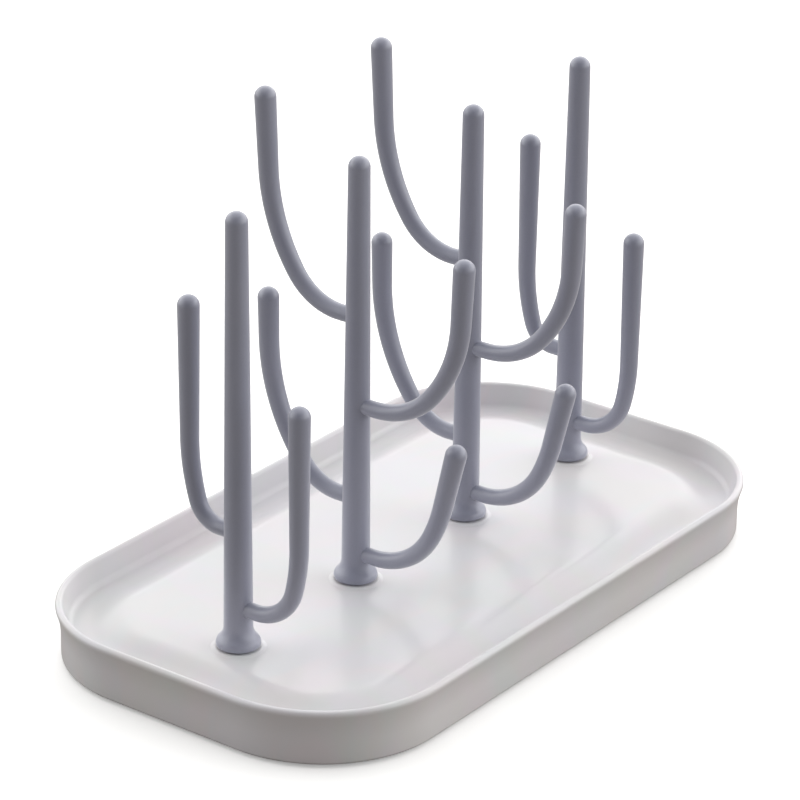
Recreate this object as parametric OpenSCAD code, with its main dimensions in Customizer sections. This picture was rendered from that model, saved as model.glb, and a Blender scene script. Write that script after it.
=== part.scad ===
// Bottle drying rack: four branching trees plugged into one shallow drip tray.
// Millimetres. +X runs along the tray, +Y towards its back long side, +Z up.
// The origin is the middle of the plane that the four pads rest on.

/* [Tray] */
// Length of the tray over the rim
tray_l = 320; // [310:1:360]
// Width of the tray over the rim
tray_w = 180; // [170:1:200]
// Height of the rim above the table
rim_z = 25.4; // [24.4:0.2:30]
// Plan radius of the rim's corners
corner_r = 57; // [52:1:64]
// Thickness of the tray's wall and skirt
wall = 2.6; // [2.2:0.1:3]
// Thickness of the tray's floor
floor_t = 2.4; // [2:0.1:3]
// Height of the floor's raised middle above the table
floor_z = 18.8; // [17:0.2:19]
// Drop from the raised middle into the gutter along the wall
gutter_drop = 4.4; // [2:0.2:5]
// How far the rim flares out past the skirt
flare = 2; // [1:0.1:3]

/* [Trees] */
// Distance from one tree to the next
tree_pitch = 77; // [60:0.5:80]
// Height of a tree above its seat
stem_h = 186.8; // [150:0.2:240]
// Radius of the stem just above its foot
stem_r = 6; // [5.5:0.1:6.3]
// Radius of the stem at its domed top
stem_tip_r = 4.5; // [3.8:0.1:4.9]
// Radius of the bell-shaped foot
foot_r = 9.2; // [8.8:0.1:9.8]
// Length of the plug below the foot
plug_l = 14; // [10:0.5:14.5]
// Radius of the plug
plug_r = 5.2; // [4.6:0.1:5.6]

/* [Arms] */
// Radius of an arm where it leaves the stem
arm_r = 3.3; // [2.9:0.1:3.6]
// Radius of an arm at its domed tip
arm_tip_r = 4.5; // [4.2:0.1:4.9]
// Distance from the stem's axis to the start of an arm's first bend
arm_lead = 9; // [8:0.5:12]

/* [Pads] */
// Radius of an anti-slip pad
pad_r = 8; // [6:0.5:9]
// Thickness of an anti-slip pad
pad_t = 2.4; // [2:0.2:3]

/* [Hidden] */
$fn = 96;

// Each arm: root height above the seat, first bend's radius and turn, second bend's
// radius, final rise angle, length of the straight run below the tip.
end_arm_back = [50, 12, 73, 92, 90, 56];
end_arm_front = [17.5, 20, 76, 84, 90, 56];
arm_back_upper = [117.4, 28, 55, 80, 87, 30];
arm_back_lower = [36.5, 25, 53, 85, 89, 18];
arm_front_upper = [79, 37, 50, 60, 87.5, 23];
arm_front_lower = [12, 33, 62, 68, 76.5, 25.5];

skirt_z = 1;
lip_r = 1.6;
lip_land = 0.6;
edge_r = 1.5;
gutter_fillet = 3;
gutter_in = 13;
middle_in = 29;

// Half the distance between the centres of the corner arcs, each way
core_x = tray_l / 2 - corner_r;
core_y = tray_w / 2 - corner_r;

skirt_u = corner_r - flare;
inner_u = skirt_u - wall;
lip_z = rim_z - lip_r;
gutter_z = floor_z - gutter_drop;
flare_z = 11.5;
flare_h = lip_z - lip_land - flare_z;
flare_r = (flare_h * flare_h + flare * flare) / (2 * flare);

seat_z = floor_z + 0.6;
seat_r = 10.6;
plug_gap = 0.08;
key_w = 2.2;
key_reach = 6.7;
key_l = 10;
key_gap = 0.15;
socket_floor = 2;
socket_r = key_reach + key_gap + 1.8;
socket_depth = plug_l + 0.6;
rib_t = 2;
rib_h = 3;

stem_top_z = stem_h - stem_tip_r;
plinth_r = 8.2;
plinth_h = 0.6;
foot_round = 3.5;
foot_mid_x = foot_r - foot_round;
foot_mid_z = 1.6;
neck_fillet = 7;
neck_x = stem_r + neck_fillet;
neck_bite = 0.05;
neck_reach = foot_round + neck_fillet - neck_bite;
neck_z = foot_mid_z + sqrt(neck_reach * neck_reach - (neck_x - foot_mid_x) * (neck_x - foot_mid_x));

pad_u = 42;
pad_x = core_x + pad_u * cos(45);
pad_y = core_y + pad_u * sin(45);
pad_gap = 0.2;
pad_recess = 1;
pad_boss_r = pad_r + 1.8;

seam_pitch = 10;
seam_overlap = 0.6;

tree_grey = [0.47, 0.48, 0.52];
tray_white = [0.93, 0.92, 0.92];
pad_grey = [0.32, 0.32, 0.34];

// ---- Tray ----

// Section of the tray from a corner arc's centre outwards, x = distance from that centre.
module tray_section() {
    difference() {
        union() {
            wall_section();
            floor_section();
            gutter_fillet_section();
        }
        // hollow of the flare under the rim
        translate([skirt_u + flare_r, flare_z]) circle(r = flare_r, $fn = 240);
        translate([skirt_u, skirt_z - 1]) square([flare + 1, flare_z - skirt_z + 1]);
        // rounded outer edge along the bottom of the skirt
        translate([skirt_u - edge_r, skirt_z]) difference() {
            translate([0, -1]) square(edge_r + 1);
            translate([0, edge_r]) circle(r = edge_r);
        }
    }
}

// Wall, skirt and the rounded lip on top.
module wall_section() {
    lip_x = corner_r - lip_r;
    polygon([[inner_u, skirt_z], [corner_r, skirt_z], [corner_r, lip_z],
             [lip_x - lip_r, lip_z], [inner_u, gutter_z + gutter_fillet]]);
    translate([lip_x, lip_z]) circle(r = lip_r);
}

// Floor: a raised flat middle that slopes down to the gutter.
module floor_section() {
    gutter_u = corner_r - gutter_in;
    middle_u = corner_r - middle_in;
    polygon([[0, floor_z - floor_t], [middle_u, floor_z - floor_t], [gutter_u, gutter_z - floor_t],
             [inner_u + wall / 2, gutter_z - floor_t], [inner_u + wall / 2, gutter_z], [gutter_u, gutter_z],
             [middle_u, floor_z], [0, floor_z]]);
}

// Round inside corner between the gutter and the wall.
module gutter_fillet_section() {
    translate([inner_u - gutter_fillet, gutter_z]) difference() {
        translate([0, -0.5]) square([gutter_fillet + 0.5, gutter_fillet + 0.5]);
        translate([0, gutter_fillet]) circle(r = gutter_fillet);
    }
}

// A quarter turn of a section about a corner arc's centre.
module corner_sweep(side_x, side_y) {
    start = side_x > 0 ? (side_y > 0 ? 0 : 270) : (side_y > 0 ? 90 : 180);
    translate([side_x * core_x, side_y * core_y, 0]) rotate([0, 0, start])
        rotate_extrude(angle = 90) children();
}

// A straight run of a section, standing off the middle by reach and turned about Z.
module side_sweep(turn, reach, run) {
    rotate([0, 0, turn]) translate([-run / 2, reach, 0]) rotate([90, 0, 90])
        linear_extrude(height = run) children();
}

module tray_shell() {
    for (side_x = [-1, 1], side_y = [-1, 1]) corner_sweep(side_x, side_y) tray_section();
    for (turn = [0, 180]) side_sweep(turn, core_y, 2 * core_x) tray_section();
    for (turn = [90, 270]) side_sweep(turn, core_x, 2 * core_y) tray_section();
    translate([-core_x, -core_y, floor_z - floor_t]) cube([2 * core_x, 2 * core_y, floor_t]);
}

// Everything above the middle of the floor's thickness, near one corner.
module above_floor(side_x, side_y) {
    mid = floor_t / 2;
    corner_sweep(side_x, side_y)
        polygon([[0, floor_z - mid], [corner_r - middle_in, floor_z - mid],
                 [corner_r - gutter_in, gutter_z - mid], [corner_r, gutter_z - mid],
                 [corner_r, rim_z], [0, rim_z]]);
}

// Boss under a corner, open below to take a pad.
module pad_boss(side_x, side_y) {
    difference() {
        translate([side_x * pad_x, side_y * pad_y, pad_t - pad_recess])
            cylinder(r = pad_boss_r, h = floor_z - pad_t);
        above_floor(side_x, side_y);
    }
}

// Blind cup under the floor that takes a tree's plug, with a raised seat above.
module socket_body() {
    translate([0, 0, seat_z - socket_depth - socket_floor])
        cylinder(r = socket_r, h = socket_depth + socket_floor - 1);
    translate([0, 0, floor_z - floor_t / 2]) cylinder(r = seat_r, h = seat_z - floor_z + floor_t / 2);
}

module socket_hollow() {
    reach = key_reach + key_gap;
    translate([0, 0, seat_z - socket_depth]) cylinder(r = plug_r + plug_gap, h = socket_depth + 1);
    translate([-reach, -key_w / 2 - key_gap, seat_z - key_l - 0.3])
        cube([2 * reach, key_w + 2 * key_gap, key_l + 1.3]);
}

// Shallow rib across the underside of the floor, through one socket.
module cross_rib() {
    run = 2 * (core_y + corner_r - middle_in);
    translate([-rib_t / 2, -run / 2, floor_z - floor_t - rib_h]) cube([rib_t, run, rib_h + 1]);
}

function tree_xs() = [-1.5, -0.5, 0.5, 1.5] * tree_pitch;

module tray() {
    color(tray_white) difference() {
        union() {
            tray_shell();
            for (x = tree_xs()) translate([x, 0, 0]) {
                socket_body();
                cross_rib();
            }
            for (side_x = [-1, 1], side_y = [-1, 1]) pad_boss(side_x, side_y);
        }
        for (x = tree_xs()) translate([x, 0, 0]) socket_hollow();
        for (side_x = [-1, 1], side_y = [-1, 1])
            translate([side_x * pad_x, side_y * pad_y, 0]) cylinder(r = pad_r + pad_gap, h = pad_t);
    }
}

// ---- Trees ----

// Half section of stem, foot and plug; z = 0 is the seat that the foot stands on.
module stem_section() {
    difference() {
        union() {
            polygon([[0, -plug_l], [plug_r - 0.8, -plug_l], [plug_r, 1 - plug_l], [plug_r, 0],
                     [plinth_r, 0], [plinth_r, plinth_h + 0.2], [stem_r, plinth_h + 0.2],
                     [stem_r, neck_z], [stem_tip_r, stem_top_z], [0, stem_top_z]]);
            intersection() {
                translate([0, stem_top_z]) circle(r = stem_tip_r);
                translate([0, stem_top_z]) square(2 * stem_tip_r);
            }
            foot_section();
        }
        translate([neck_x, neck_z]) circle(r = neck_fillet);
    }
}

// Round lower edge of the bell foot, and the web that the neck's fillet is cut from.
module foot_section() {
    intersection() {
        translate([foot_mid_x, foot_mid_z]) circle(r = foot_round);
        translate([0, plinth_h]) square(2 * foot_r);
    }
    polygon([[0, plinth_h], [foot_mid_x, plinth_h], [foot_mid_x, foot_mid_z],
             [neck_x, neck_z], [0, neck_z]]);
}

// Length of an arm's centreline from the stem's axis to the middle of its domed tip.
function arm_length(shape) =
    arm_lead + (shape[1] * shape[2] + shape[3] * (shape[4] - shape[2])) * PI / 180 + shape[5];

// Radius of an arm at a distance along its centreline.
function arm_radius(shape, along) = arm_r + (arm_tip_r - arm_r) * along / arm_length(shape);

// One bend in the YZ plane, starting at p = [y, z], at a distance along the arm and rising at
// angle a0. Its short lengths are each a little thicker than the last, and run on into the next.
module bend(shape, p, along, radius, a0, a1) {
    arc = radius * (a1 - a0) * PI / 180;
    lengths = ceil(arc / seam_pitch);
    turn = (a1 - a0) / lengths;
    run_on = seam_overlap / radius * 180 / PI;
    translate([0, p[0] - radius * sin(a0), p[1] + radius * cos(a0)])
        for (i = [0 : lengths - 1])
            rotate([a0 + i * turn, 0, 0]) rotate([0, 90, 0])
                rotate_extrude(angle = turn + run_on) translate([radius, 0])
                    circle(r = arm_radius(shape, along + arc * (i + 0.5) / lengths));
}

// An arm reaching towards +Y: level root, first bend, second bend, straight run, domed tip.
module arm(shape) {
    root_z = shape[0];
    turn = shape[2];
    rise = shape[4];
    p1 = [arm_lead, root_z];
    p2 = p1 + shape[1] * [sin(turn), 1 - cos(turn)];
    p3 = p2 + shape[3] * [sin(rise) - sin(turn), cos(turn) - cos(rise)];
    translate([0, 0, root_z]) rotate([-90, 0, 0]) cylinder(r = arm_r, h = arm_lead + seam_overlap);
    bend(shape, p1, arm_lead, shape[1], 0, turn);
    bend(shape, p2, arm_lead + shape[1] * turn * PI / 180, shape[3], turn, rise);
    translate([0, p3[0], p3[1]]) rotate([rise - 90, 0, 0]) rotate_extrude() tip_section(shape);
}

// Half section of an arm's straight run and its domed tip.
module tip_section(shape) {
    run = shape[5];
    polygon([[0, 0], [arm_radius(shape, arm_length(shape) - run), 0], [arm_tip_r, run], [0, run]]);
    intersection() {
        translate([0, run]) circle(r = arm_tip_r);
        translate([0, run]) square(2 * arm_tip_r);
    }
}

// Two ribs on the plug that keep the tree square to the tray.
module plug_keys() {
    translate([-key_reach, -key_w / 2, -key_l]) cube([2 * key_reach, key_w, key_l + plinth_h]);
}

module tree(x, back_arms, front_arms) {
    color(tree_grey) translate([x, 0, seat_z]) {
        rotate_extrude() stem_section();
        plug_keys();
        for (shape = back_arms) arm(shape);
        for (shape = front_arms) rotate([0, 0, 180]) arm(shape);
    }
}

module end_tree(x) {
    tree(x, [end_arm_back], [end_arm_front]);
}

module middle_tree(x) {
    tree(x, [arm_back_upper, arm_back_lower], [arm_front_upper, arm_front_lower]);
}

// ---- Pads ----

module pad(side_x, side_y) {
    color(pad_grey) translate([side_x * pad_x, side_y * pad_y, 0]) cylinder(r = pad_r, h = pad_t);
}

tray();
end_tree(tree_xs()[0]);  // tree_left_end
middle_tree(tree_xs()[1]);  // tree_left_middle
middle_tree(tree_xs()[2]);  // tree_right_middle
end_tree(tree_xs()[3]);  // tree_right_end
pad(-1, -1);  // pad_front_left
pad(1, -1);  // pad_front_right
pad(-1, 1);  // pad_back_left
pad(1, 1);  // pad_back_right
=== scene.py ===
import math

import bmesh
import bpy
from mathutils import Matrix, Vector


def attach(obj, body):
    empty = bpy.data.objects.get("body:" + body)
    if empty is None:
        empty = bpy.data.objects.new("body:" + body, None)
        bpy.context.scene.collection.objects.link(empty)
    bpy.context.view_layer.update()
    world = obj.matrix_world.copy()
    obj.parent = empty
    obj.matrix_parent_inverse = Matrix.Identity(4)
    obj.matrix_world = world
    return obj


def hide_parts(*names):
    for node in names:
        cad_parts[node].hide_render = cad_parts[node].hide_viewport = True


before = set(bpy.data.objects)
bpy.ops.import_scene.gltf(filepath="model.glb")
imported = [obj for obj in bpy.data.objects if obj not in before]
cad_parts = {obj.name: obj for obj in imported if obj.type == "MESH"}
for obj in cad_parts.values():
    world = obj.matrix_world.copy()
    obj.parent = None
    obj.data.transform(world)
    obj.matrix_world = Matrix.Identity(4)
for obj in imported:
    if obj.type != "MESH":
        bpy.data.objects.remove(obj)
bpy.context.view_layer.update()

MM = 0.001
scene = bpy.context.scene

# ---- Sizes, in millimetres ----
# They follow the CAD, with these differences. The floor's slope is a soft curve where the CAD's is
# straight, and the seats slope into the floor. The groove under the feet is larger. The pads have
# grooves. The pads' bosses end flat at BOSS_Z, where the CAD's run on into the sloping floor.

TRAY_HALF_L, TRAY_HALF_W = 160.0, 90.0
CORNER = 57.0
CORE_X, CORE_Y = TRAY_HALF_L - CORNER, TRAY_HALF_W - CORNER
RIM_Z, LIP_R, WALL, FLARE = 25.4, 1.6, 2.6, 2.0
FLOOR_Z, FLOOR_T, GUTTER_DROP = 18.8, 2.4, 4.4
GUTTER_FILLET, WALL_DRAFT = 3.0, 12.6     # the inner wall leans out by this many degrees
FLARE_Z, RIM_LAND, BOTTOM_ROUND = 11.5, 0.6, 1.5
SLOPE_FROM, SLOPE_RUN = 26.0, 20.0        # the floor's slope, measured out from the corner arcs' centres
UNDER_FROM, UNDER_TO = 28.0, 44.0         # the same slope on the underside
MIDDLE_U = 6.0                            # innermost ring of the floor's mesh
SEAT_Z, SEAT_R, SEAT_SLOPE = 19.4, 10.6, 2.4     # the CAD's seat has a plain step
PITCH = 77.0
TREE_X = [-1.5 * PITCH, -0.5 * PITCH, 0.5 * PITCH, 1.5 * PITCH]

# Under the floor: a socket and a cross rib at each tree, and a boss with a recess for each pad.
SOCKET_R, SOCKET_Z, BORE_R, BORE_Z = 8.65, 2.8, 5.28, 4.8
KEYWAY_REACH, KEYWAY_HALF_W, KEYWAY_Z = 6.85, 1.25, 9.1
CUT_TOP_Z = 20.4                          # bores and keyways are cut from above the seats
RIB_HALF_W, RIB_REACH, RIB_Z = 1.0, 61.0, (13.4, 17.0)
BOSS_R, BOSS_Z = 9.8, (1.4, 13.3)
RECESS_R, RECESS_Z = 8.2, (0.4, 2.4)
PAD_REACH = 42.0                          # from a corner arc's centre to its pad
PAD_X, PAD_Y = CORE_X + PAD_REACH * math.sqrt(0.5), CORE_Y + PAD_REACH * math.sqrt(0.5)
PADS = [(sx * PAD_X, sy * PAD_Y) for sx in (-1, 1) for sy in (-1, 1)]
PAD_R, PAD_T = 8.0, 2.4

# Root height above the seat, first bend's radius and turn, second bend's radius, final rise,
# straight run; then the side that the arm reaches to.
END_ARMS = [((50, 12, 73, 92, 90, 56), 1), ((17.5, 20, 76, 84, 90, 56), -1)]
MIDDLE_ARMS = [
    ((117.4, 28, 55, 80, 87, 30), 1),
    ((36.5, 25, 53, 85, 89, 18), 1),
    ((79, 37, 50, 60, 87.5, 23), -1),
    ((12, 33, 62, 68, 76.5, 25.5), -1),
]
ARM_LEAD, ARM_ROOT_R, ARM_TIP_R = 9.0, 3.3, 4.5
STEM_H, STEM_R, STEM_TIP_R = 186.8, 6.0, 4.5
FOOT_R, FOOT_ROUND, FOOT_MID_Z, NECK_FILLET = 9.2, 3.5, 1.6, 7.0
# The groove under the bell foot is a touch deeper and higher than the CAD's, so that its shadow shows.
PLINTH_R, PLINTH_H = 7.6, 0.8
PLUG_R, PLUG_L, PLUG_LEAD_R, PLUG_LEAD = 5.2, 14.0, 4.4, 1.0
KEY_REACH, KEY_HALF_W, KEY_DEPTH = 6.7, 1.1, 10.0
OVERLAP = 0.5                             # how far the keys run up into the foot, to join it


# ---- Mesh helpers ----

def mesh_object(name, verts, faces):
    """A new object from points in millimetres, with its faces turned outwards."""
    mesh = bpy.data.meshes.new(name)
    mesh.from_pydata([Vector(v) * MM for v in verts], [], faces)
    mesh.update()
    bm = bmesh.new()
    bm.from_mesh(mesh)
    bmesh.ops.recalc_face_normals(bm, faces=bm.faces)
    bm.to_mesh(mesh)
    bm.free()
    obj = bpy.data.objects.new(name, mesh)
    scene.collection.objects.link(obj)
    return obj


def loft(rings):
    """Verts and faces that join equal closed rings and close both ends; a one-point ring becomes a pole."""
    verts, faces, starts = [], [], []
    for ring in rings:
        starts.append(len(verts))
        verts += ring
    for i in range(len(rings) - 1):
        a, b, na, nb = starts[i], starts[i + 1], len(rings[i]), len(rings[i + 1])
        n = max(na, nb)
        for k in range(n):
            m = (k + 1) % n
            if nb == 1:
                faces.append((a + k, a + m, b))
            elif na == 1:
                faces.append((a, b + m, b + k))
            else:
                faces.append((a + k, a + m, b + m, b + k))
    if len(rings[0]) > 1:
        faces.append(tuple(range(len(rings[0]) - 1, -1, -1)))
    if len(rings[-1]) > 1:
        faces.append(tuple(starts[-1] + k for k in range(len(rings[-1]))))
    return verts, faces


def revolve(name, profile, centre=(0, 0, 0), segments=96):
    """A closed solid of revolution about a vertical axis from (radius, height) points."""
    cx, cy, cz = centre
    turns = [2 * math.pi * k / segments for k in range(segments)]
    rings = []
    for r, z in profile:
        if r < 1e-6:
            rings.append([(cx, cy, cz + z)])
        else:
            rings.append([(cx + r * math.cos(t), cy + r * math.sin(t), cz + z) for t in turns])
    return mesh_object(name, *loft(rings))


def arc(cx, cz, r, a0, a1, steps):
    """Points of an arc in a section, angles in degrees."""
    return [(cx + r * math.cos(math.radians(a0 + (a1 - a0) * k / steps)),
             cz + r * math.sin(math.radians(a0 + (a1 - a0) * k / steps))) for k in range(steps + 1)]


def box(name, lo, hi):
    """A box between two opposite corners."""
    (x0, y0, z0), (x1, y1, z1) = lo, hi
    verts = [(x, y, z) for z in (z0, z1) for x, y in ((x0, y0), (x1, y0), (x1, y1), (x0, y1))]
    faces = [(3, 2, 1, 0), (4, 5, 6, 7), (0, 1, 5, 4), (1, 2, 6, 5), (2, 3, 7, 6), (3, 0, 4, 7)]
    return mesh_object(name, verts, faces)


def apply_modifiers(obj):
    depsgraph = bpy.context.evaluated_depsgraph_get()
    mesh = bpy.data.meshes.new_from_object(obj.evaluated_get(depsgraph))
    obj.modifiers.clear()
    obj.data = mesh


def combine(target, tools, operation):
    """Adds or cuts solids, leaving one closed mesh on target."""
    for tool in tools:
        mod = target.modifiers.new("solid", "BOOLEAN")
        mod.operation = operation
        mod.solver = "MANIFOLD"
        mod.object = tool
    apply_modifiers(target)
    for tool in tools:
        bpy.data.objects.remove(tool)


def smooth(obj, angle=32):
    """Smooth shading that keeps edges sharper than the angle."""
    mesh = obj.data
    bm = bmesh.new()
    bm.from_mesh(mesh)
    bmesh.ops.remove_doubles(bm, verts=bm.verts, dist=1e-7)
    for f in bm.faces:
        f.smooth = True
    for e in bm.edges:
        e.smooth = len(e.link_faces) == 2 and e.calc_face_angle(0) < math.radians(angle)
    bm.to_mesh(mesh)
    bm.free()
    mod = obj.modifiers.new("flats", "WEIGHTED_NORMAL")
    mod.keep_sharp = True
    apply_modifiers(obj)
    return obj


# ---- Tray ----

def tray_ring(u, z, corner_steps=28, long_steps=52, short_steps=17):
    """A closed ring round the tray at distance u from the corner arcs' centres."""
    ring = []
    # which corner, the angle at which its arc starts, and the steps along the side after it
    sides = [
        (1, 1, 0, long_steps),
        (-1, 1, 90, short_steps),
        (-1, -1, 180, long_steps),
        (1, -1, 270, short_steps),
    ]
    for i, (sx, sy, start, steps) in enumerate(sides):
        for k in range(corner_steps + 1):
            a = math.radians(start + 90 * k / corner_steps)
            ring.append((sx * CORE_X + u * math.cos(a), sy * CORE_Y + u * math.sin(a), z))
        nx, ny, nstart, _ = sides[(i + 1) % 4]
        a = math.radians(nstart)
        end = (nx * CORE_X + u * math.cos(a), ny * CORE_Y + u * math.sin(a))
        begin = ring[-1]
        for k in range(1, steps):
            t = k / steps
            ring.append((begin[0] + (end[0] - begin[0]) * t, begin[1] + (end[1] - begin[1]) * t, z))
    return ring


def tray_profile():
    """The tray's section, from the middle of the floor over the rim to the middle of its underside."""
    skirt_u = CORNER - FLARE
    inner_u = skirt_u - WALL
    gutter_z = FLOOR_Z - GUTTER_DROP
    lip_u, lip_z = CORNER - LIP_R, RIM_Z - LIP_R
    pts = [(u, FLOOR_Z) for u in (MIDDLE_U, 12, 18, 22, 25)]
    # soft slope from the raised middle into the gutter
    for k in range(1, 21):
        t = k / 20
        eased = t * t * t * (t * (6 * t - 15) + 10)
        pts.append((SLOPE_FROM + SLOPE_RUN * t, FLOOR_Z - GUTTER_DROP * eased))
    # fillet, straight leaning wall and rounded rim
    fillet_u, fillet_z = inner_u - GUTTER_FILLET, gutter_z + GUTTER_FILLET
    pts.append((fillet_u, gutter_z))
    pts += arc(fillet_u, fillet_z, GUTTER_FILLET, -90, -WALL_DRAFT, 10)[1:]
    rim = arc(lip_u, lip_z, LIP_R, 180 - WALL_DRAFT, 0, 20)
    foot, top = pts[-1], rim[0]
    lean = (top[0] - foot[0], top[1] - foot[1])
    pts += [(foot[0] + lean[0] * k / 4, foot[1] + lean[1] * k / 4) for k in range(1, 4)]
    pts += rim
    # outer face: short land, hollow of the flare, straight skirt, rounded bottom edge
    land_z = lip_z - RIM_LAND
    h = land_z - FLARE_Z
    r = (h * h + FLARE * FLARE) / (2 * FLARE)
    for k in range(0, 15):
        z = land_z - h * k / 14
        pts.append((skirt_u + r - math.sqrt(r * r - (z - FLARE_Z) ** 2), z))
    pts += [(skirt_u, 8.5), (skirt_u, 5.5)]
    pts += arc(skirt_u - BOTTOM_ROUND, 1.0 + BOTTOM_ROUND, BOTTOM_ROUND, 0, -90, 8)
    pts += [(inner_u + 0.35, 1.0), (inner_u + 0.1, 1.1), (inner_u, 1.35)]
    # inside of the skirt, then the underside of gutter, slope and middle
    pts += [(inner_u, 6.0), (inner_u, gutter_z - FLOOR_T), (UNDER_TO, gutter_z - FLOOR_T)]
    pts += [(UNDER_FROM, FLOOR_Z - FLOOR_T), (MIDDLE_U, FLOOR_Z - FLOOR_T)]
    return pts


def seat_profile():
    """The faint raised seat round a socket, whose edge slopes softly into the floor."""
    outer_r, foot_z, root_z = SEAT_R + SEAT_SLOPE / 2, FLOOR_Z - 0.02, FLOOR_Z - 1.2
    pts = [(0, root_z), (outer_r, root_z), (outer_r, foot_z)]
    for k in range(1, 17):
        t = k / 16
        pts.append((outer_r - SEAT_SLOPE * t, foot_z + (SEAT_Z - foot_z) * t * t * (3 - 2 * t)))
    pts.append((0, SEAT_Z))
    return pts


def peg_profile(radius, z0, z1, chamfer=0.0):
    """A plain cylinder's section, with its lower edge chamfered if asked."""
    if chamfer:
        return [(0, z0), (radius - chamfer, z0), (radius, z0 + chamfer), (radius, z1), (0, z1)]
    return [(0, z0), (radius, z0), (radius, z1), (0, z1)]


def build_tray():
    rings = [tray_ring(u, z) for u, z in tray_profile()]
    tray = mesh_object("Tray", *loft(rings))
    adds, cuts = [], []
    for i, x in enumerate(TREE_X):
        at = (x, 0, 0)
        socket = peg_profile(SOCKET_R, SOCKET_Z, 17.7, 0.5)
        adds.append(revolve(f"seat_{i}", seat_profile(), at))
        adds.append(revolve(f"socket_{i}", socket, at))
        rib_lo = (x - RIB_HALF_W, -RIB_REACH, RIB_Z[0])
        rib_hi = (x + RIB_HALF_W, RIB_REACH, RIB_Z[1])
        adds.append(box(f"rib_{i}", rib_lo, rib_hi))
        keyway_lo = (x - KEYWAY_REACH, -KEYWAY_HALF_W, KEYWAY_Z)
        keyway_hi = (x + KEYWAY_REACH, KEYWAY_HALF_W, CUT_TOP_Z)
        cuts.append(revolve(f"bore_{i}", peg_profile(BORE_R, BORE_Z, CUT_TOP_Z), at))
        cuts.append(box(f"keyway_{i}", keyway_lo, keyway_hi))
    for i, (x, y) in enumerate(PADS):
        at = (x, y, 0)
        adds.append(revolve(f"boss_{i}", peg_profile(BOSS_R, *BOSS_Z, 0.3), at, 64))
        cuts.append(revolve(f"recess_{i}", peg_profile(RECESS_R, *RECESS_Z), at, 64))
    combine(tray, adds, "UNION")
    combine(tray, cuts, "DIFFERENCE")
    return smooth(tray, 24)


# ---- Trees ----

def arm_path(shape):
    """Centreline of an arm as (y, z, rise in degrees, radius), thickening evenly along it."""
    root_z, r1, turn, r2, rise, run = shape
    pts = [(ARM_LEAD * k / 3, root_z, 0.0, ARM_LEAD * k / 3) for k in range(4)]

    def bend(radius, a0, a1, steps):
        y0, z0, _, s0 = pts[-1]
        for k in range(1, steps + 1):
            a = a0 + (a1 - a0) * k / steps
            pts.append((y0 + radius * (math.sin(math.radians(a)) - math.sin(math.radians(a0))),
                        z0 + radius * (math.cos(math.radians(a0)) - math.cos(math.radians(a))),
                        a, s0 + radius * math.radians(a - a0)))

    bend(r1, 0, turn, 28)
    bend(r2, turn, rise, 22)
    y0, z0, _, s0 = pts[-1]
    step_y, step_z = math.cos(math.radians(rise)), math.sin(math.radians(rise))
    for k in range(1, 9):
        d = run * k / 8
        pts.append((y0 + d * step_y, z0 + d * step_z, rise, s0 + d))
    return [(y, z, a, ARM_ROOT_R + (ARM_TIP_R - ARM_ROOT_R) * s / pts[-1][3]) for y, z, a, s in pts]


def build_arm(name, x, shape, side, segments=56):
    """A round arm with a domed tip; side is 1 towards the back and -1 towards the front."""

    def ring(y, z, a, r):
        ca, sa = math.cos(math.radians(a)), math.sin(math.radians(a))
        pts = []
        for k in range(segments):
            t = 2 * math.pi * k / segments
            out = r * math.sin(t)
            pts.append((x + r * math.cos(t), side * (y - out * sa), SEAT_Z + z + out * ca))
        return pts

    path = arm_path(shape)
    rings = [ring(*point) for point in path]
    y, z, a, r = path[-1]
    ca, sa = math.cos(math.radians(a)), math.sin(math.radians(a))
    for k in range(1, 14):
        t = math.radians(90 * k / 14)
        rings.append(ring(y + r * math.sin(t) * ca, z + r * math.sin(t) * sa, a, r * math.cos(t)))
    rings.append([(x, side * (y + r * ca), SEAT_Z + z + r * sa)])
    return mesh_object(name, *loft(rings))


def stem_profile():
    """Half section of plug, bell foot and stem; height 0 is the seat."""
    pts = [(0, -PLUG_L), (PLUG_LEAD_R, -PLUG_L), (PLUG_R, PLUG_LEAD - PLUG_L), (PLUG_R, -6), (PLUG_R, 0)]
    pts += [(PLINTH_R - 0.3, 0), (PLINTH_R, 0.25), (PLINTH_R, PLINTH_H)]
    # round lower edge of the bell, then the long fillet up to the stem
    mid_x, neck_x = FOOT_R - FOOT_ROUND, STEM_R + NECK_FILLET
    neck_z = FOOT_MID_Z + math.sqrt((FOOT_ROUND + NECK_FILLET) ** 2 - (neck_x - mid_x) ** 2)
    low = math.degrees(math.asin((PLINTH_H - FOOT_MID_Z) / FOOT_ROUND))
    touch = math.degrees(math.atan2(neck_z - FOOT_MID_Z, neck_x - mid_x))
    edge = arc(mid_x, FOOT_MID_Z, FOOT_ROUND, low, touch, 18)
    pts += [(edge[0][0] - 0.2, PLINTH_H), (edge[0][0] - 0.03, PLINTH_H + 0.08)] + edge[1:]
    pts += arc(neck_x, neck_z, NECK_FILLET, 180 + touch, 180, 16)[1:]
    top_z = STEM_H - STEM_TIP_R
    for k in range(1, 41):
        t = k / 40
        pts.append((STEM_R + (STEM_TIP_R - STEM_R) * t, neck_z + (top_z - neck_z) * t))
    pts += arc(0, top_z, STEM_TIP_R, 0, 90, 16)[1:-1]
    pts.append((0, STEM_H))
    return pts


def build_tree(name, x, arms):
    tree = revolve(name, stem_profile(), (x, 0, SEAT_Z))
    keys_lo = (x - KEY_REACH, -KEY_HALF_W, SEAT_Z - KEY_DEPTH)
    keys_hi = (x + KEY_REACH, KEY_HALF_W, SEAT_Z + OVERLAP)
    adds = [box(name + "_keys", keys_lo, keys_hi)]
    for i, (shape, side) in enumerate(arms):
        adds.append(build_arm(f"{name}_arm_{i}", x, shape, side))
    combine(tree, adds, "UNION")
    return smooth(tree, 28)


# ---- Pads ----

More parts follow.
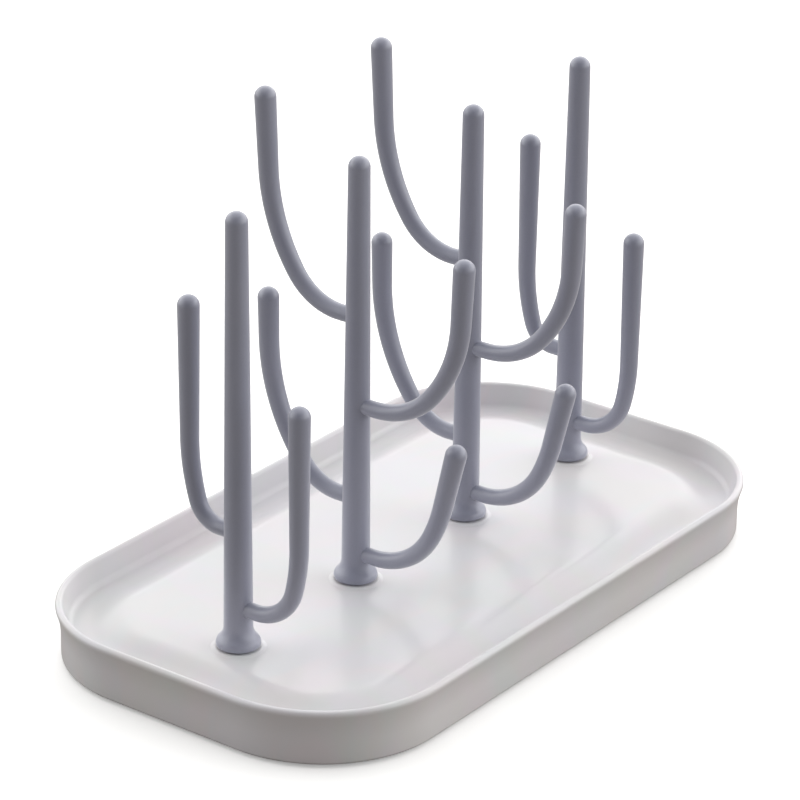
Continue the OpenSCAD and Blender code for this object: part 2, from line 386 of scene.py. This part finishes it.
def build_pad(name, x, y):
    """A rubber disc with two shallow grooves in its underside and rounded edges."""
    groove = 0.35
    profile = [(0, groove), (1.4, groove), (1.8, 0.0), (3.4, 0.0), (3.7, groove), (4.5, groove), (4.8, 0.0)]
    profile += [(PAD_R - 0.5, 0.0), (PAD_R - 0.15, 0.12), (PAD_R, 0.45)]
    profile += [(PAD_R, PAD_T - 0.3), (PAD_R - 0.3, PAD_T), (0, PAD_T)]
    return smooth(revolve(name, profile, (x, y, 0), 72), 30)


# ---- Materials ----

def node_material(name):
    """A material with an empty shader, and the object coordinates that its textures use."""
    mat = bpy.data.materials.new(name)
    mat.use_nodes = True
    nt = mat.node_tree
    nt.nodes.clear()
    out = nt.nodes.new("ShaderNodeOutputMaterial")
    shader = nt.nodes.new("ShaderNodeBsdfPrincipled")
    nt.links.new(shader.outputs["BSDF"], out.inputs["Surface"])
    coords = nt.nodes.new("ShaderNodeTexCoord")
    return mat, nt, shader, coords.outputs["Object"]


def stretched(nt, coords, factors, offset=(0, 0, 0)):
    """Texture coordinates squeezed along each axis by its factor, then shifted."""
    m = nt.nodes.new("ShaderNodeVectorMath")
    m.operation = "MULTIPLY_ADD"
    nt.links.new(coords, m.inputs[0])
    m.inputs[1].default_value = factors
    m.inputs[2].default_value = offset
    return m.outputs["Vector"]


def noise(nt, coords, scale, detail=2.0, swirl=0.0):
    n = nt.nodes.new("ShaderNodeTexNoise")
    n.inputs["Scale"].default_value = scale
    n.inputs["Detail"].default_value = detail
    n.inputs["Distortion"].default_value = swirl
    nt.links.new(coords, n.inputs["Vector"])
    return n.outputs["Fac"]


def spread(nt, value, lo_in, hi_in, lo, hi):
    """Maps the input range softly onto the output range, and holds it there beyond the ends."""
    m = nt.nodes.new("ShaderNodeMapRange")
    m.interpolation_type = "SMOOTHSTEP"
    for key, v in (("From Min", lo_in), ("From Max", hi_in), ("To Min", lo), ("To Max", hi)):
        m.inputs[key].default_value = v
    nt.links.new(value, m.inputs["Value"])
    return m.outputs["Result"]


def feed(nt, value, socket):
    """Sets a socket to a number or an RGB colour, or links another node's output to it."""
    if isinstance(value, tuple):
        socket.default_value = (*value, 1)
    elif isinstance(value, float):
        socket.default_value = value
    else:
        nt.links.new(value, socket)


def blend_colours(nt, factor, a, b):
    """A colour between a and b; each of the three is a plain value or another node's output."""
    m = nt.nodes.new("ShaderNodeMix")
    m.data_type = "RGBA"
    first, second = [socket for socket in m.inputs if socket.type == "RGBA"]
    feed(nt, factor, m.inputs["Factor"])
    feed(nt, a, first)
    feed(nt, b, second)
    return [socket for socket in m.outputs if socket.type == "RGBA"][0]


def bump(nt, shader, layers):
    """Stacks bump layers of (height, strength, distance in metres) onto the shader."""
    last = None
    for height, strength, distance in layers:
        b = nt.nodes.new("ShaderNodeBump")
        b.inputs["Strength"].default_value = strength
        b.inputs["Distance"].default_value = distance
        nt.links.new(height, b.inputs["Height"])
        if last is not None:
            nt.links.new(last, b.inputs["Normal"])
        last = b.outputs["Normal"]
    nt.links.new(last, shader.inputs["Normal"])


def tree_plastic():
    mat, nt, shader, at = node_material("tree_grey_plastic")
    cloud = spread(nt, noise(nt, at, 22, 3), 0.3, 0.7, 0, 1)
    speck = spread(nt, noise(nt, at, 1400, 2), 0.35, 0.65, 0, 1)
    base = blend_colours(nt, cloud, (0.294, 0.304, 0.388), (0.311, 0.319, 0.396))
    fine = blend_colours(nt, speck, (0.286, 0.296, 0.378), (0.319, 0.328, 0.408))
    nt.links.new(blend_colours(nt, 0.3, base, fine), shader.inputs["Base Color"])
    nt.links.new(spread(nt, noise(nt, at, 60, 4), 0.3, 0.7, 0.36, 0.44), shader.inputs["Roughness"])
    shader.inputs["IOR"].default_value = 1.58
    shader.inputs["Coat Weight"].default_value = 0.5
    shader.inputs["Coat Roughness"].default_value = 0.32
    shader.inputs["Sheen Weight"].default_value = 0.5
    shader.inputs["Sheen Roughness"].default_value = 0.4
    bump(nt, shader, [(noise(nt, at, 2600, 2), 0.35, 0.00005), (noise(nt, at, 90, 2), 0.3, 0.0001)])
    return mat


def tray_plastic():
    mat, nt, shader, at = node_material("tray_white_plastic")

    def swirls(coords, scale, a, b):
        wave = noise(nt, coords, scale, 3, 1.2)
        return blend_colours(nt, spread(nt, wave, 0.36, 0.64, 0, 1), a, b)

    # two sets of very faint pastel swirls, as in a pearly white plastic
    across = stretched(nt, at, (1.0, 2.2, 1.0))
    along = stretched(nt, at, (2.0, 1.0, 1.0), (3, 5, 1))
    rose = swirls(across, 15, (0.716, 0.727, 0.750), (0.764, 0.709, 0.728))
    lilac = swirls(along, 18, (0.724, 0.738, 0.715), (0.754, 0.715, 0.750))
    nt.links.new(blend_colours(nt, 0.5, rose, lilac), shader.inputs["Base Color"])
    # kept above 0.27: the render's denoiser draws flaky patches where a roughness crosses that value
    nt.links.new(spread(nt, noise(nt, at, 45, 3), 0.3, 0.7, 0.30, 0.37), shader.inputs["Roughness"])
    shader.inputs["IOR"].default_value = 1.5
    shader.inputs["Coat Weight"].default_value = 0.3
    shader.inputs["Coat Roughness"].default_value = 0.16
    bump(nt, shader, [(noise(nt, at, 1800, 2), 0.10, 0.00003)])
    return mat


def pad_rubber():
    mat, nt, shader, at = node_material("pad_dark_rubber")
    worn = spread(nt, noise(nt, at, 180, 4), 0.35, 0.7, 0, 1)
    base = blend_colours(nt, worn, (0.045, 0.045, 0.050), (0.075, 0.074, 0.078))
    nt.links.new(base, shader.inputs["Base Color"])
    nt.links.new(spread(nt, noise(nt, at, 300, 3), 0.3, 0.7, 0.72, 0.88), shader.inputs["Roughness"])
    shader.inputs["Sheen Weight"].default_value = 0.2
    bump(nt, shader, [(noise(nt, at, 1500, 3), 0.5, 0.0001)])
    return mat


def floor_paper(name, light, dark, glow=0.0):
    """Matt paper with faint fibres; glow is the light that it gives off itself."""
    mat, nt, shader, at = node_material(name)
    shader.inputs["Emission Color"].default_value = (1, 1, 1, 1)
    shader.inputs["Emission Strength"].default_value = glow
    fibre = spread(nt, noise(nt, at, 40, 4), 0.3, 0.7, 0, 1)
    nt.links.new(blend_colours(nt, fibre, dark, light), shader.inputs["Base Color"])
    shader.inputs["Roughness"].default_value = 0.9
    shader.inputs["Specular IOR Level"].default_value = 0.1
    return mat


# ---- The pieces ----

def dress(obj, material, body, node):
    """Gives a piece its material, ties it to its body and hides its CAD node."""
    obj.data.materials.clear()
    obj.data.materials.append(material)
    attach(obj, body)
    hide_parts(node)


def piece_name(node):
    """tree_left_end becomes TreeLeftEnd."""
    return "".join(word.capitalize() for word in node.split("_"))


tray_mat, tree_mat, pad_mat = tray_plastic(), tree_plastic(), pad_rubber()
dress(build_tray(), tray_mat, "base", "tray")
for node, x, arms in (
    ("tree_left_end", TREE_X[0], END_ARMS),
    ("tree_left_middle", TREE_X[1], MIDDLE_ARMS),
    ("tree_right_middle", TREE_X[2], MIDDLE_ARMS),
    ("tree_right_end", TREE_X[3], END_ARMS),
):
    dress(build_tree(piece_name(node), x, arms), tree_mat, node + "_lift", node)
for (x, y), node in zip(PADS, ("pad_front_left", "pad_back_left", "pad_front_right", "pad_back_right")):
    dress(build_pad(piece_name(node), x, y), pad_mat, "base", node)

# ---- Stage ----

def floor_sheet(name, z, material):
    """A wide round sheet, z metres above the ground."""
    bpy.ops.mesh.primitive_circle_add(vertices=96, radius=40.0, fill_type="NGON", location=(0, 0, z))
    sheet = bpy.context.object
    sheet.name = name
    sheet.data.materials.append(material)
    return sheet


def ceiling_light(strength, patch_degrees):
    """Even light straight down from a wide round patch of ceiling."""
    data = bpy.data.lights.new("Ceiling", "SUN")
    data.energy = strength
    data.angle = math.radians(patch_degrees)
    scene.collection.objects.link(bpy.data.objects.new("Ceiling", data))


def softbox_glow(nt, facing, compass, height, strength):
    """Light of one round softbox: full in its middle, fading out towards its edge."""
    a, h = math.radians(compass), math.radians(height)
    dot = nt.nodes.new("ShaderNodeVectorMath")
    dot.operation = "DOT_PRODUCT"
    nt.links.new(facing, dot.inputs[0])
    dot.inputs[1].default_value = (math.cos(a) * math.cos(h), math.sin(a) * math.cos(h), math.sin(h))
    return spread(nt, dot.outputs["Value"], BOX_EDGE, BOX_FULL, 0, strength)


def add_values(nt, a, b):
    add = nt.nodes.new("ShaderNodeMath")
    add.operation = "ADD"
    nt.links.new(a, add.inputs[0])
    nt.links.new(b, add.inputs[1])
    return add.outputs["Value"]


def studio_world(softboxes):
    """Dark room with white softboxes all round, seen by the camera as plain white.

    A softbox is (compass angle from +X, height angle, strength), angles in degrees."""
    world = bpy.data.worlds.new("Studio")
    world.use_nodes = True
    nt = world.node_tree
    nt.nodes.clear()
    facing = nt.nodes.new("ShaderNodeTexCoord").outputs["Generated"]
    glows = [softbox_glow(nt, facing, *softbox) for softbox in softboxes]
    total = glows[0]
    for glow in glows[1:]:
        total = add_values(nt, total, glow)
    room = nt.nodes.new("ShaderNodeBackground")
    room.inputs["Color"].default_value = (1, 1, 1, 1)
    nt.links.new(total, room.inputs["Strength"])
    white = nt.nodes.new("ShaderNodeBackground")
    white.inputs["Color"].default_value = (1, 1, 1, 1)
    seen = nt.nodes.new("ShaderNodeLightPath").outputs["Is Camera Ray"]
    mix = nt.nodes.new("ShaderNodeMixShader")
    nt.links.new(seen, mix.inputs["Fac"])
    nt.links.new(room.outputs["Background"], mix.inputs[1])
    nt.links.new(white.outputs["Background"], mix.inputs[2])
    out = nt.nodes.new("ShaderNodeOutputWorld")
    nt.links.new(mix.outputs["Shader"], out.inputs["Surface"])
    return world


# Two sheets make the floor. Only the camera sees the paper, white and glowing slightly. Only light meets
# the sheet below it, a mid grey, because a white floor would light the tray's outer walls too much.
paper_look = floor_paper("floor_paper", (0.98, 0.975, 0.96), (0.965, 0.96, 0.945), 0.3)
paper = floor_sheet("Floor", -0.0002, paper_look)
paper.visible_diffuse = paper.visible_glossy = paper.visible_shadow = False
bounce_look = floor_paper("floor_bounce", (0.33, 0.31, 0.28), (0.31, 0.29, 0.26))
bounce = floor_sheet("FloorBounce", -0.0003, bounce_look)
bounce.visible_camera = False

ceiling_light(0.45, 60)

# A softbox every 40 degrees from the camera's left, round its right side, to behind the rack, and two
# higher fills. The left side has none, so the left walls stay darker. A fit to the shading in the photo
# guided the layout, and the strengths are plain half steps.
LOW, HIGH = 12, 50                        # height angles in degrees
FAINT, MEDIUM, STRONG = 0.5, 1.0, 1.5
BOX_EDGE, BOX_FULL = 0.60, 0.98           # cosines of the angles from a softbox's middle
scene.world = studio_world([
    (265, LOW, FAINT),                    # left of the camera
    (305, LOW, STRONG),                   # over the camera
    (345, LOW, MEDIUM),                   # right of the camera
    (25, LOW, MEDIUM),                    # right side
    (65, LOW, FAINT),
    (105, LOW, STRONG),                   # behind the rack
    (145, LOW, FAINT),
    (5, HIGH, FAINT),
    (95, HIGH, FAINT),
])

scene.view_settings.view_transform = "Standard"
scene.view_settings.look = "None"

# ---- Camera ----

# These were fitted to points measured on the photo, together with the object's proportions.
TARGET = Vector((16.36, 19.16, 75.54)) * MM
COMPASS, DOWN, ROLL = math.radians(36.70), math.radians(24.205), math.radians(0.806)
DISTANCE = 1.64766                        # metres
LENS, SENSOR = 175.239, 36                # millimetres
forward = Vector((math.cos(COMPASS) * math.cos(DOWN), math.sin(COMPASS) * math.cos(DOWN), -math.sin(DOWN)))
level_right = Vector((math.sin(COMPASS), -math.cos(COMPASS), 0))
level_up = level_right.cross(forward)
right = math.cos(ROLL) * level_right + math.sin(ROLL) * level_up
up = math.cos(ROLL) * level_up - math.sin(ROLL) * level_right
camera_data = bpy.data.cameras.new("Camera")
camera = bpy.data.objects.new("Camera", camera_data)
scene.collection.objects.link(camera)
camera_data.sensor_width = SENSOR
camera_data.lens = LENS
camera_data.clip_start, camera_data.clip_end = 0.05, 60
place = Matrix((right, up, -forward)).transposed().to_4x4()
place.translation = TARGET - forward * DISTANCE
camera.matrix_world = place
scene.camera = camera
